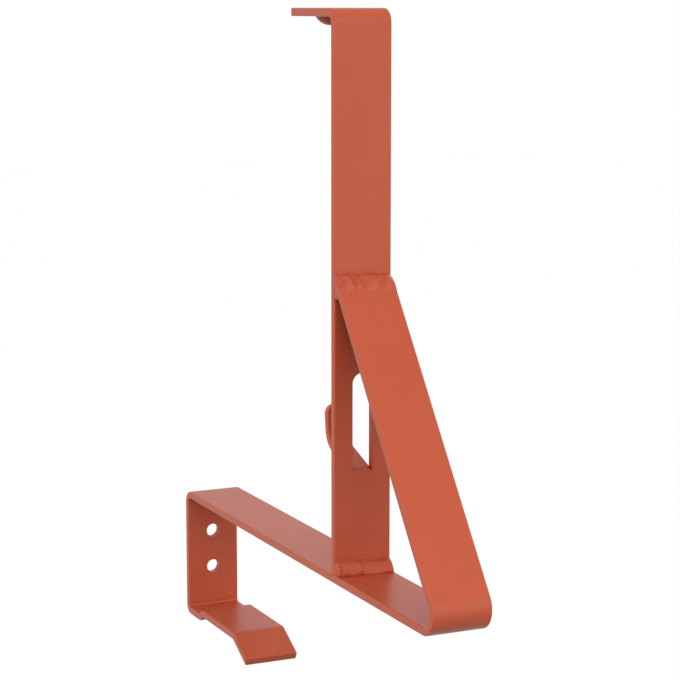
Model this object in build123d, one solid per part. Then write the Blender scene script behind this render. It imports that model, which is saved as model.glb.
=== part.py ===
from build123d import *
from math import cos, radians, sin, tan
import os

# Snow guard bracket: two strips of flat steel bar, bent and welded together.
# Frame: +X is down the roof, +Y across the strips, +Z up. Millimetres.
# The origin lies midway between the two screw holes, on the face of the hook that bears on the batten.

# Flat bar that both strips are bent from
bar_width = 30.0
bar_thickness = 4.0
edge_round = 0.7

# Screw holes in the leg of the hook
screw_hole_diameter = 7.5
screw_hole_spacing = 21.0
screw_hole_drop = 31.0

# Batten hook: its opening below the arm, the step in its lower flat, and its lip
hook_opening = 64.0
hook_top_radius = 3.0
hook_bottom_radius = 1.5
step_reach = 18.0
step_rise = 3.0
step_angle = 45.0
step_radius = 1.5
lip_reach = 66.7
lip_angle = 28.0
lip_length = 20.8
lip_radius = 2.0

# Arm, nose and brace
nose_reach = 310.0
nose_radius = 6.5
brace_angle = 53.0
brace_root_gap = 1.0

# Upright and its top flange
upright_reach = 199.5
upright_height = 272.0
flange_length = 50.5
flange_radius = 3.0

# Dimple pressed down in the flange, which keeps the guard's top rail in
dimple_reach = 36.7
dimple_radius = 8.4
dimple_wall = 3.2
dimple_foot_round = 0.8

# Window in the upright, and the tongue lanced out of it that carries the guard's bottom rail
tongue_rise = 48.4
slit_rise = 50.9
tongue_width = 10.0
tongue_side_gap = 0.3
tongue_end_gap = 2.2
tongue_root_radius = 0.2
tongue_seat_angle = 19.3
tongue_seat_length = 29.7
tongue_curl_radius = 7.5
tongue_tip_angle = 83.5
tongue_tip_length = 18.8
tongue_edge_round = 0.6
tongue_tip_flat = 0.1

# Weld beads
bead_end_inset = 0.4
bead_end_length = 1.2
bead_end_size = 0.88
foot_bead_leg = 6.4
foot_bead_bulge = 1.9
rear_bead_leg = 5.6
rear_bead_bulge = 0.8
top_bead_rise = 4.6
top_bead_overlap = 4.9
top_bead_bulge = 1.8
root_bead_depth = 4.4
bead_bite = 0.5

half_width = bar_width / 2
half_thickness = bar_thickness / 2

# Heights and places that follow from the sizes above
arm_underside = screw_hole_drop
arm_middle = arm_underside + half_thickness
arm_top = arm_underside + bar_thickness
lower_flat_middle = arm_underside - hook_opening - half_thickness
upright_middle = upright_reach - half_thickness
upright_rear = upright_reach - bar_thickness
flange_top = arm_top + upright_height
flange_middle = flange_top - half_thickness
flange_underside = flange_top - bar_thickness
tongue_root = arm_top + tongue_rise
window_bottom = arm_top + slit_rise

# Direction down the brace, its outward normal, and the two corners of its end at the upright
brace_down = Vector(cos(radians(brace_angle)), -sin(radians(brace_angle)))
brace_normal = Vector(sin(radians(brace_angle)), cos(radians(brace_angle)))
brace_end_x = upright_reach + brace_root_gap + half_thickness * brace_normal.X
brace_end_z = arm_middle + (nose_reach - brace_end_x) * tan(radians(brace_angle))
brace_end = Vector(brace_end_x, brace_end_z)
brace_outer_corner = brace_end + brace_normal * half_thickness
brace_inner_corner = brace_end - brace_normal * half_thickness


# Point a length away from start: forward_angle is measured up from +X
def point_from(start, length, forward_angle):
    angle = radians(forward_angle)
    return Vector(start) + Vector(length * cos(angle), length * sin(angle))


# Bar of rectangular section bent along a middle line drawn in X and Z
def bent_bar(middle_line, width):
    section = trace(middle_line, line_width=bar_thickness)
    return extrude(Plane.XZ * section, amount=width / 2, both=True)


# Rounds the edges along both sides of a bar, as rolled bar has them
def round_side_edges(bar, radius):
    return fillet(bar.faces().filter_by(Axis.Y).edges(), radius)


# Long strip: lip, stepped lower flat, leg with its holes, arm, nose and brace
def support_strip():
    step_run = step_rise / tan(radians(step_angle))
    upper_flat_middle = lower_flat_middle + step_rise
    lip_start = Vector(lip_reach, upper_flat_middle)
    points = [
        point_from(lip_start, lip_length, -lip_angle),
        lip_start,
        Vector(step_reach + step_run / 2, upper_flat_middle),
        Vector(step_reach - step_run / 2, lower_flat_middle),
        Vector(-half_thickness, lower_flat_middle),
        Vector(-half_thickness, arm_middle),
        Vector(nose_reach, arm_middle),
        brace_end,
    ]
    inner_radii = [
        lip_radius, step_radius, step_radius, hook_bottom_radius, hook_top_radius, nose_radius
    ]
    middle_radii = [radius + half_thickness for radius in inner_radii]
    strip = bent_bar(FilletPolyline(*points, radius=middle_radii), bar_width)
    strip = round_side_edges(strip, edge_round)
    for side in (-1, 1):
        place = Pos(-half_thickness, 0, side * screw_hole_spacing / 2) * Rot(0, 90, 0)
        strip -= place * Cylinder(screw_hole_diameter / 2, 2 * bar_thickness)
    return strip


# Middle line of the tongue, from below the window to its tip
def tongue_line():
    root_bend = tongue_root_radius + half_thickness
    curl_bend = tongue_curl_radius + half_thickness
    turn = radians(90 - tongue_seat_angle)
    start = Vector(upright_middle, tongue_root - bar_thickness)
    corner = Vector(upright_middle, tongue_root + root_bend * tan(turn / 2))
    curl = point_from(corner, tongue_seat_length, 180 - tongue_seat_angle)
    tip = point_from(curl, tongue_tip_length, 180 - tongue_tip_angle)
    return FilletPolyline(start, corner, curl, tip, radius=[root_bend, curl_bend])


# Tongue bent back and up, with a round tip
def tongue():
    bar = bent_bar(tongue_line(), tongue_width)
    tip_face = bar.faces().sort_by(Axis.Z)[-1]
    tip_corners = tip_face.edges().filter_by(Axis.Y, reverse=True)
    bar = fillet(tip_corners, (tongue_width - tongue_tip_flat) / 2)
    rims = bar.faces().filter_by(Axis.Y).edges().filter_by(
        lambda edge: edge.center().Z > tongue_root
    )
    return fillet(rims, tongue_edge_round)


# Window left by the tongue, with a round top like the tongue's tip
def window():
    width = tongue_width + 2 * tongue_side_gap
    height = tongue_root + tongue_line().length - bar_thickness + tongue_end_gap - window_bottom
    outline = Rectangle(width, height - width / 2, align=(Align.CENTER, Align.MIN))
    outline += Pos(0, height - width / 2) * Circle(width / 2)
    place = Plane(origin=(upright_middle, 0, window_bottom), x_dir=(0, 1, 0), z_dir=(1, 0, 0))
    return extrude(place * outline, amount=bar_thickness, both=True)


# Presses the dimple down in the flange: a ball below the underside, a smaller hollow in the top
def press_dimple(bar):
    centre = Pos(upright_reach - dimple_reach, 0, flange_top)
    reach_below = Cylinder(
        dimple_radius, dimple_radius, align=(Align.CENTER, Align.CENTER, Align.MAX)
    )
    bar += centre * (Sphere(dimple_radius) & Pos(0, 0, -half_thickness) * reach_below)
    rims = bar.edges().filter_by(GeomType.CIRCLE)
    foot = rims.filter_by(lambda rim: abs(rim.center().Z - flange_underside) < 0.01)
    bar = fillet(foot, dimple_foot_round)
    return bar - centre * Sphere(dimple_radius - dimple_wall)


# Upright with its flange, dimple, window and tongue
def upright():
    points = [
        Vector(upright_middle, arm_top),
        Vector(upright_middle, flange_middle),
        Vector(upright_reach - flange_length, flange_middle),
    ]
    line = FilletPolyline(*points, radius=flange_radius + half_thickness)
    bar = round_side_edges(bent_bar(line, bar_width), edge_round)
    bar -= window()
    bar += tongue()
    return press_dimple(bar)


# Bead along Y whose section swells out from the chord between start and end, and is smaller at both ends
def bead(start, end, corner, bulge):
    half_length = bar_width / 2 - bead_end_inset
    chord = end - start
    outward = Vector(-chord.Y, chord.X).normalized()
    if (corner - start).dot(outward) > 0:
        outward = -outward
    full_half = half_length - bead_end_length
    places = [-half_length, -full_half, full_half, half_length]
    sizes = [bead_end_size, 1, 1, bead_end_size]
    sections = []
    for y, size in zip(places, sizes):
        upper = corner + (start - corner) * size
        lower = corner + (end - corner) * size
        middle = (upper + lower) / 2 + outward * bulge * size
        outline = [ThreePointArc(upper, middle, lower), Line(lower, corner), Line(corner, upper)]
        sections.append(Plane.XZ.offset(-y) * make_face(outline))
    return loft(sections, ruled=True)


# Fillet bead in the corner between the arm and a face of the upright; side is +1 in front, -1 behind
def foot_weld(face_x, side, leg, bulge):
    start = Vector(face_x, arm_top + leg)
    end = Vector(face_x + side * leg, arm_top)
    corner = Vector(face_x - side * bead_bite, arm_top - bead_bite)
    return bead(start, end, corner, bulge) - upright() - support_strip()


# Bead over the end of the brace, which also fills the narrow corner under it
def top_weld():
    start = Vector(upright_reach, brace_outer_corner.Y + top_bead_rise)
    end = brace_outer_corner + brace_down * top_bead_overlap
    solid = bead(start, end, brace_inner_corner, top_bead_bulge)
    bottom = brace_inner_corner.Y - root_bead_depth
    brace_x = brace_inner_corner.X + root_bead_depth * brace_down.X / -brace_down.Y
    root = Polyline(
        Vector(upright_reach - bead_bite, bottom),
        Vector(brace_x + bead_bite, bottom),
        brace_end,
        Vector(upright_reach - bead_bite, brace_outer_corner.Y),
        close=True,
    )
    length = bar_width - 2 * bead_end_inset
    solid += extrude(Plane.XZ * make_face(root), amount=length / 2, both=True)
    return solid - upright() - support_strip()


if __name__ == "__main__":
    os.makedirs("parts", exist_ok=True)
    export_step(support_strip(), "parts/support_strip.step")
    export_step(upright(), "parts/upright.step")
    export_step(top_weld(), "parts/top_weld.step")
    export_step(foot_weld(upright_reach, 1, foot_bead_leg, foot_bead_bulge), "parts/front_foot_weld.step")
    export_step(foot_weld(upright_rear, -1, rear_bead_leg, rear_bead_bulge), "parts/rear_foot_weld.step")
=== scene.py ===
import math

import bpy
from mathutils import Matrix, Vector


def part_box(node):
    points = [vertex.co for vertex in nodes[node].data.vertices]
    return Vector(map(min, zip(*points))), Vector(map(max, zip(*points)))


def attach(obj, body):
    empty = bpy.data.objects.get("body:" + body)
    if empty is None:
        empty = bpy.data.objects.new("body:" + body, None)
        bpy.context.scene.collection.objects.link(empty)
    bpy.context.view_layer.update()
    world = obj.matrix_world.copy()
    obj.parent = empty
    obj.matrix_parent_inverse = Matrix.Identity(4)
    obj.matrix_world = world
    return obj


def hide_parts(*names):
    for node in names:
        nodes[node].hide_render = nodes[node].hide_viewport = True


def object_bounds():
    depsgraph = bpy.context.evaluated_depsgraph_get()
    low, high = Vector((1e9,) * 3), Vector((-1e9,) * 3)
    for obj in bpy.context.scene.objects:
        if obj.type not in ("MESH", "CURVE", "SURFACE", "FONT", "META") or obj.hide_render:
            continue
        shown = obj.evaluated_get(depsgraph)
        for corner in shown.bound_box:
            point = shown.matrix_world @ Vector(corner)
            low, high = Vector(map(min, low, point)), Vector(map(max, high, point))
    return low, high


# Snow guard bracket: a powder coated steel bracket in front of a plain white studio background.
# Metres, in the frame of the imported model.
mm = 0.001

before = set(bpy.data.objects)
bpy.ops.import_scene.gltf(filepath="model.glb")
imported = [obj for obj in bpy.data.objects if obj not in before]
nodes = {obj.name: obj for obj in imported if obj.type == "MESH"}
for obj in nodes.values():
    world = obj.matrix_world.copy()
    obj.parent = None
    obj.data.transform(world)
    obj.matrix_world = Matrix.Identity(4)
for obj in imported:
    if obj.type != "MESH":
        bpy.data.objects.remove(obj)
cad_box = [list(corner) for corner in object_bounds()]

# Camera, placed as the photograph's: the point it looks at, its direction round that point,
# its lens, and the nearest and farthest distance in metres that it sees
camera_aim = Vector((173.6 * mm, 0, 146.1 * mm))
camera_azimuth = math.radians(65.16)
camera_elevation = math.radians(9.05)
camera_distance = 1035.4 * mm
camera_lens = 111.8
camera_sensor = 36.0
camera_nearest = 0.05
camera_farthest = 50

# Light: how bright the dome is overhead, all round and from below, the height of its direction
# over which it turns from one to the other, and three soft boxes, with their angles in degrees
dome_overhead = 0.45
dome_round = 0.66
dome_bottom = 0.0
dome_turn = 0.3
front_box = {"power": 4.6, "size": 0.9, "azimuth": 82, "elevation": 22, "distance": 1.1}
right_box = {"power": 2.9, "size": 0.9, "azimuth": 128, "elevation": 8, "distance": 1.1}
left_box = {"power": 11.0, "size": 1.2, "azimuth": 8, "elevation": 12, "distance": 1.6}

# Floor, below the bracket, which hangs from its screws: its own grey, and how bright it is seen
floor_drop = 0.22
floor_size = 12.0
floor_grey = 0.12
floor_glow = 0.93

# Powder coat: its colours, its gloss, and the sizes of its mottling, orange peel and grain
coat_red = (0.565, 0.103, 0.0455)
coat_red_deep = (0.545, 0.096, 0.0415)
# Painted shade: the darker red mixed into creases and corners, how far the occlusion looks for
# them, and its samples
painted_shade_red = (0.30, 0.040, 0.018)
painted_shade_reach = 4 * mm
painted_shade_samples = 8
coat_roughness = 0.36
coat_roughness_range = 0.04
coat_specular = 0.24
mottle_size = 22 * mm
mottle_detail = 3
peel_size = 1.5 * mm
peel_height = 0.012 * mm
grain_size = 0.35 * mm
grain_height = 0.004 * mm
fine_detail = 2
edge_softness = 0.4 * mm
edge_samples = 6

# Range that most of a noise's values lie in
noise_low = 0.3
noise_high = 0.7

# Weld beads: how much the toes waver, how far the back reaches into the bars, how far the lumps
# lean, how soft an ear sets in, where the near end starts to slant, and how fine the skin is
bead_length = 29.7 * mm
toe_waver = 0.35 * mm
waver_long = 2.3 * mm
waver_short = 1.1 * mm
waver_offset = 1
bead_bite = 0.6 * mm
lump_flatness = 0.7
lump_slant = 0.8 * mm
ear_softness = 0.4 * mm
slant_start = 8 * mm
bead_sharp_angle = math.radians(40)
bead_rings = 180
bead_steps = 28

# Legs of the foot beads, and the slope, reach and back of the one over the brace's end
foot_leg = 6.4 * mm
rear_leg = 5.6 * mm
brace_angle = math.radians(53)
top_reach = Vector((7.14 * mm, 0, -8.51 * mm))
root_width = 2.7 * mm
top_back_depth = 4 * mm
brace_back_depth = 3.6 * mm

# Form of each bead, its lengths in mm. bulge is the height of its face, and flatness the power of
# its curve at the first and the second toe. rises and reaches say how far these move out at the
# near and the far end, and ear how far the first one moves past ear_place. The ends are end_size as
# large and end_round long, and the near one slants by end_slant. Each lump is its place along the
# bead, its height and its width.
foot_form = {
    "bulge": 1.3, "flatness": (1.0, 0.55), "rises": (1.0, -0.9), "reaches": (-2.8, 0.0),
    "ear": 1.4, "ear_place": 12.0, "end_size": 0.78, "end_round": 1.5, "end_slant": 0.0,
    "lumps": (
        (-13.8, 1.0, 0.8), (-12.2, -0.25, 0.8), (-10, 0.5, 1.6), (-5.5, -0.2, 1.6),
        (-2.6, 0.9, 1.2), (4, -0.15, 2.5), (11, 0.4, 1.6),
    ),
}
rear_form = {
    "bulge": 0.6, "flatness": (0.8, 0.8), "rises": (0.2, -0.3), "reaches": (-0.3, 0.3),
    "ear": 0.0, "ear_place": 12.0, "end_size": 0.85, "end_round": 1.2, "end_slant": 0.0,
    "lumps": ((-9.5, 0.45, 2.1), (-3.2, 0.3, 1.6), (3.4, 0.5, 2.2), (9.8, 0.35, 1.7)),
}
top_form = {
    "bulge": 1.2, "flatness": (0.45, 1.2), "rises": (0.0, -0.8), "reaches": (-1.4, 0.4),
    "ear": -1.4, "ear_place": 14.0, "end_size": 0.96, "end_round": 0.6, "end_slant": 1.2,
    "lumps": (
        (-14.4, 0.75, 0.7), (-12.4, -0.3, 1.2), (-8.9, 1.2, 1.7), (-6.2, -0.4, 0.9), (-4, 0.9, 1.1),
        (-1.2, -0.5, 1.6), (4.4, 1.2, 2.2), (8.4, -0.5, 1.4), (11.7, 0.9, 1.6),
    ),
}


# Direction from the object towards a place seen under the given azimuth and elevation
def direction(azimuth, elevation):
    level = math.cos(elevation)
    return Vector((math.sin(azimuth) * level, -math.cos(azimuth) * level, math.sin(elevation)))


# Adds a node of the given type with its input values, and returns it
def add_node(tree, kind, **values):
    node = tree.nodes.new(kind)
    for name, value in values.items():
        node.inputs[name.replace("_", " ")].default_value = value
    return node


# Noise in the object's own coordinates whose features are about the given size across
def noise(tree, place, size, detail):
    node = add_node(tree, "ShaderNodeTexNoise", Scale=1 / size, Detail=detail)
    tree.links.new(place.outputs["Object"], node.inputs["Vector"])
    return node


# Maps a noise from its usual range to low and high
def spread(tree, source, low, high):
    node = add_node(
        tree, "ShaderNodeMapRange",
        From_Min=noise_low, From_Max=noise_high, To_Min=low, To_Max=high,
    )
    tree.links.new(source.outputs["Fac"], node.inputs["Value"])
    return node


# Bump of one noise, laid over the bump before it
def bump(tree, source, height, before=None):
    node = add_node(tree, "ShaderNodeBump", Distance=height)
    tree.links.new(source.outputs["Fac"], node.inputs["Height"])
    if before:
        tree.links.new(before.outputs["Normal"], node.inputs["Normal"])
    return node


# Paints shade into the creases: mixes a darker red in where ambient occlusion finds the surface
# closed in
def paint_crease_shade(tree, colour):
    openness = add_node(tree, "ShaderNodeAmbientOcclusion", Distance=painted_shade_reach)
    openness.samples = painted_shade_samples
    crease_shade = tree.nodes.new("ShaderNodeMix")
    crease_shade.data_type = "RGBA"
    crease_shade.inputs["A"].default_value = (*painted_shade_red, 1)
    tree.links.new(colour.outputs["Result"], crease_shade.inputs["B"])
    tree.links.new(openness.outputs["AO"], crease_shade.inputs["Factor"])
    return crease_shade


# Satin powder coat: faint mottling, painted shade in the creases, soft edges, orange peel and a
# fine grain
def powder_coat(name):
    material = bpy.data.materials.new(name)
    material.use_nodes = True
    tree = material.node_tree
    shader = tree.nodes["Principled BSDF"]
    shader.inputs["Specular IOR Level"].default_value = coat_specular
    place = tree.nodes.new("ShaderNodeTexCoord")

    mottle = noise(tree, place, mottle_size, mottle_detail)
    peel = noise(tree, place, peel_size, fine_detail)
    grain = noise(tree, place, grain_size, fine_detail)

    colour = tree.nodes.new("ShaderNodeMix")
    colour.data_type = "RGBA"
    colour.inputs["A"].default_value = (*coat_red_deep, 1)
    colour.inputs["B"].default_value = (*coat_red, 1)
    tree.links.new(spread(tree, mottle, 0, 1).outputs["Result"], colour.inputs["Factor"])
    # Painted shade in the creases, laid over the coat's own colour
    crease_shade = paint_crease_shade(tree, colour)
    tree.links.new(crease_shade.outputs["Result"], shader.inputs["Base Color"])

    low = coat_roughness - coat_roughness_range
    high = coat_roughness + coat_roughness_range
    tree.links.new(spread(tree, peel, low, high).outputs["Result"], shader.inputs["Roughness"])

    soft_edges = add_node(tree, "ShaderNodeBevel", Radius=edge_softness)
    soft_edges.samples = edge_samples
    relief = bump(tree, grain, grain_height, bump(tree, peel, peel_height, soft_edges))
    tree.links.new(relief.outputs["Normal"], shader.inputs["Normal"])
    return material


# Factor that is 1 for what the camera sees, also in reflections and through glass
def seen_factor(tree):
    path = tree.nodes.new("ShaderNodeLightPath")
    highest = path.outputs["Is Camera Ray"]
    for ray in ("Is Glossy Ray", "Is Transmission Ray"):
        node = tree.nodes.new("ShaderNodeMath")
        node.operation = "MAXIMUM"
        tree.links.new(highest, node.inputs[0])
        tree.links.new(path.outputs[ray], node.inputs[1])
        highest = node.outputs[0]
    return highest


# White studio all round, which lights the object from a soft dome
def white_world():
    world = bpy.data.worlds.new("studio")
    bpy.context.scene.world = world
    world.use_nodes = True
    tree = world.node_tree
    tree.nodes.clear()
    place = tree.nodes.new("ShaderNodeTexCoord")
    parts = tree.nodes.new("ShaderNodeSeparateXYZ")
    tree.links.new(place.outputs["Generated"], parts.inputs["Vector"])
    rising = add_node(
        tree, "ShaderNodeMapRange",
        From_Min=-dome_turn, From_Max=dome_turn, To_Min=dome_bottom, To_Max=dome_round,
    )
    falling = add_node(
        tree, "ShaderNodeMapRange",
        From_Min=dome_turn, From_Max=1, To_Min=dome_round, To_Max=dome_overhead,
    )
    level = tree.nodes.new("ShaderNodeMath")
    level.operation = "MINIMUM"
    for i, part in enumerate((rising, falling)):
        tree.links.new(parts.outputs["Z"], part.inputs["Value"])
        tree.links.new(part.outputs["Result"], level.inputs[i])
    dome = add_node(tree, "ShaderNodeBackground", Color=(1, 1, 1, 1))
    tree.links.new(level.outputs["Value"], dome.inputs["Strength"])
    white = add_node(tree, "ShaderNodeBackground", Color=(1, 1, 1, 1), Strength=1)
    mix = tree.nodes.new("ShaderNodeMixShader")
    tree.links.new(seen_factor(tree), mix.inputs["Fac"])
    tree.links.new(dome.outputs[0], mix.inputs[1])
    tree.links.new(white.outputs[0], mix.inputs[2])
    output = tree.nodes.new("ShaderNodeOutputWorld")
    tree.links.new(mix.outputs[0], output.inputs["Surface"])


# Pale floor that keeps the object's shadow
def pale_floor(height):
    bpy.ops.mesh.primitive_plane_add(size=floor_size, location=(0, 0, height))
    floor = bpy.context.object
    floor.name = "floor"
    material = bpy.data.materials.new("pale_floor")
    material.use_nodes = True
    tree = material.node_tree
    tree.nodes.clear()
    paint = add_node(tree, "ShaderNodeBsdfDiffuse", Color=(floor_grey, floor_grey, floor_grey, 1))
    glow = add_node(tree, "ShaderNodeEmission", Color=(1, 1, 1, 1))
    strength = tree.nodes.new("ShaderNodeMath")
    strength.operation = "MULTIPLY"
    strength.inputs[1].default_value = floor_glow
    tree.links.new(seen_factor(tree), strength.inputs[0])
    tree.links.new(strength.outputs[0], glow.inputs["Strength"])
    both = tree.nodes.new("ShaderNodeAddShader")
    tree.links.new(paint.outputs[0], both.inputs[0])
    tree.links.new(glow.outputs[0], both.inputs[1])
    output = tree.nodes.new("ShaderNodeOutputMaterial")
    tree.links.new(both.outputs[0], output.inputs["Surface"])
    floor.data.materials.append(material)


# Turns an object to look at a point
def look_at(thing, point):
    thing.rotation_euler = (point - thing.location).to_track_quat("-Z", "Y").to_euler()


# Soft box that shines at a point, at an azimuth and elevation in degrees
def soft_box(name, aim, power, size, azimuth, elevation, distance):
    light = bpy.data.lights.new(name, "AREA")
    light.energy = power
    light.size = size
    box = bpy.data.objects.new(name, light)
    bpy.context.scene.collection.objects.link(box)
    towards = direction(math.radians(azimuth), math.radians(elevation))
    box.location = aim + towards * distance
    look_at(box, aim)


# Camera that sees the bracket as the photograph does
def photo_camera():
    camera = bpy.data.objects.new("camera", bpy.data.cameras.new("camera"))
    bpy.context.scene.collection.objects.link(camera)
    camera.data.sensor_width = camera_sensor
    camera.data.lens = camera_lens
    camera.data.clip_start = camera_nearest
    camera.data.clip_end = camera_farthest
    camera.location = camera_aim + direction(camera_azimuth, camera_elevation) * camera_distance
    look_at(camera, camera_aim)
    bpy.context.scene.camera = camera


# Height of the lumps at a place along a bead and a share across it, 0 to 1
def lump_height(lumps, y, share):
    height = 0
    for place, size, width in lumps:
        away = (y - place * mm - lump_slant * (share - 0.5)) / (width * mm)
        height += size * mm * math.exp(-away * away)
    return height * math.sin(math.pi * share) ** lump_flatness


# Size of the bead near its ends: end_size at the very end, 1 past the rounded part
def end_scale(form, y):
    inward = min(1, (bead_length / 2 - abs(y)) / (form["end_round"] * mm))
    full = math.sqrt(max(0, 1 - (1 - inward) ** 2))
    return form["end_size"] + (1 - form["end_size"]) * full


# Length at a place along the bead, between the lengths in mm at its near and far end
def between(ends, y):
    return (ends[0] + (ends[1] - ends[0]) * (y / bead_length + 0.5)) * mm


# Section of a bead at a place along it: its face from toe to toe, then its back inside the bars.
# toes are its two toes, each with its direction along its bar, away from the corner. The first is
# the upper one, except in the rear bead, where it lies on the arm.
def bead_section(toes, back, form, y):
    upper, upward, lower, downward = toes
    ear = form["ear"] * mm / (1 + math.exp((form["ear_place"] * mm - y) / ear_softness))
    upper = upper + upward * (between(form["rises"], y) + ear)
    lower = lower + downward * between(form["reaches"], y)
    chord = (lower - upper).normalized()
    outward = Vector((-chord.z, 0, chord.x))
    waver = toe_waver * (math.sin(y / waver_long) + math.sin(y / waver_short + waver_offset)) / 2
    size = end_scale(form, y)
    slant = form["end_slant"] * mm * max(0, -y - slant_start) / (bead_length / 2 - slant_start)
    points = []
    for step in range(bead_steps + 1):
        share = step / bead_steps
        power = form["flatness"][0] + (form["flatness"][1] - form["flatness"][0]) * share
        swell = form["bulge"] * mm * math.sin(math.pi * share) ** power
        swell = swell + lump_height(form["lumps"], y, share)
        place = upper.lerp(lower, share) + chord * waver * (2 * share - 1) + outward * swell
        point = back[0] + (place - back[0]) * size
        points.append(Vector((point.x, y + slant * share, point.z)))
    return points + [Vector((point.x, y, point.z)) for point in back[1:]]


# Weld bead that stands for a node, as a closed skin through its sections
def weld_bead(name, node, toes, back, form, material):
    verts = []
    for ring in range(bead_rings + 1):
        verts += bead_section(toes, back, form, bead_length * (ring / bead_rings - 0.5))
    count = len(verts) // (bead_rings + 1)
    faces = [list(range(count - 1, -1, -1))]
    for ring in range(bead_rings):
        first = ring * count
        for i in range(count):
            after = (i + 1) % count
            faces.append([first + i, first + after, first + count + after, first + count + i])
    faces.append([bead_rings * count + i for i in range(count)])
    mesh = bpy.data.meshes.new(name)
    mesh.from_pydata(verts, [], faces)
    mesh.materials.append(material)
    mesh.shade_smooth()
    mesh.set_sharp_from_angle(angle=bead_sharp_angle)
    piece = bpy.data.objects.new(name, mesh)
    bpy.context.scene.collection.objects.link(piece)
    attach(piece, "root")
    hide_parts(node)


# The three beads, each placed by its node's box
def weld_beads(material):
    up, forward = Vector((0, 0, 1)), Vector((1, 0, 0))
    bite = forward * bead_bite + up * bead_bite
    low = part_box("front_foot_weld")[0]
    corner = Vector((low.x, 0, low.z))
    along, across = forward * foot_leg, up * foot_leg
    back = [corner, corner + along - bite, corner - bite, corner + across - bite]
    toes = (corner + across, up, corner + along, forward)
    weld_bead("front_foot_bead", "front_foot_weld", toes, back, foot_form, material)

    low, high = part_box("rear_foot_weld")
    corner = Vector((high.x, 0, low.z))
    along, across = forward * rear_leg, up * rear_leg
    bite = forward * bead_bite - up * bead_bite
    back = [corner, corner + across + bite, corner + bite, corner - along + bite]
    toes = (corner - along, -forward, corner + across, up)
    weld_bead("rear_foot_bead", "rear_foot_weld", toes, back, rear_form, material)

    low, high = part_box("top_weld")
    upper = Vector((low.x, 0, high.z))
    lower = upper + top_reach
    down = Vector((math.cos(brace_angle), 0, -math.sin(brace_angle)))
    inward = Vector((-math.sin(brace_angle), 0, -math.cos(brace_angle)))
    root = Vector((low.x, 0, low.z))
    back = [
        upper.lerp(lower, 0.5) + inward * top_back_depth,
        lower + inward * bead_bite - down * bead_bite,
        lower + inward * brace_back_depth - down * bead_bite,
        root + forward * (root_width + bead_bite),
        root - forward * bead_bite,
        upper - forward * bead_bite - up * bead_bite,
    ]
    weld_bead("top_bead", "top_weld", (upper, up, lower, down), back, top_form, material)


bpy.context.scene.view_settings.view_transform = "Standard"

coat = powder_coat("powder_coat")
for name in ("support_strip", "upright", "top_weld", "front_foot_weld", "rear_foot_weld"):
    nodes[name].data.materials.clear()
    nodes[name].data.materials.append(coat)
weld_beads(coat)

white_world()
pale_floor(cad_box[0][2] - floor_drop)
soft_box("front_box", camera_aim, **front_box)
soft_box("right_box", camera_aim, **right_box)
soft_box("left_box", camera_aim, **left_box)
photo_camera()
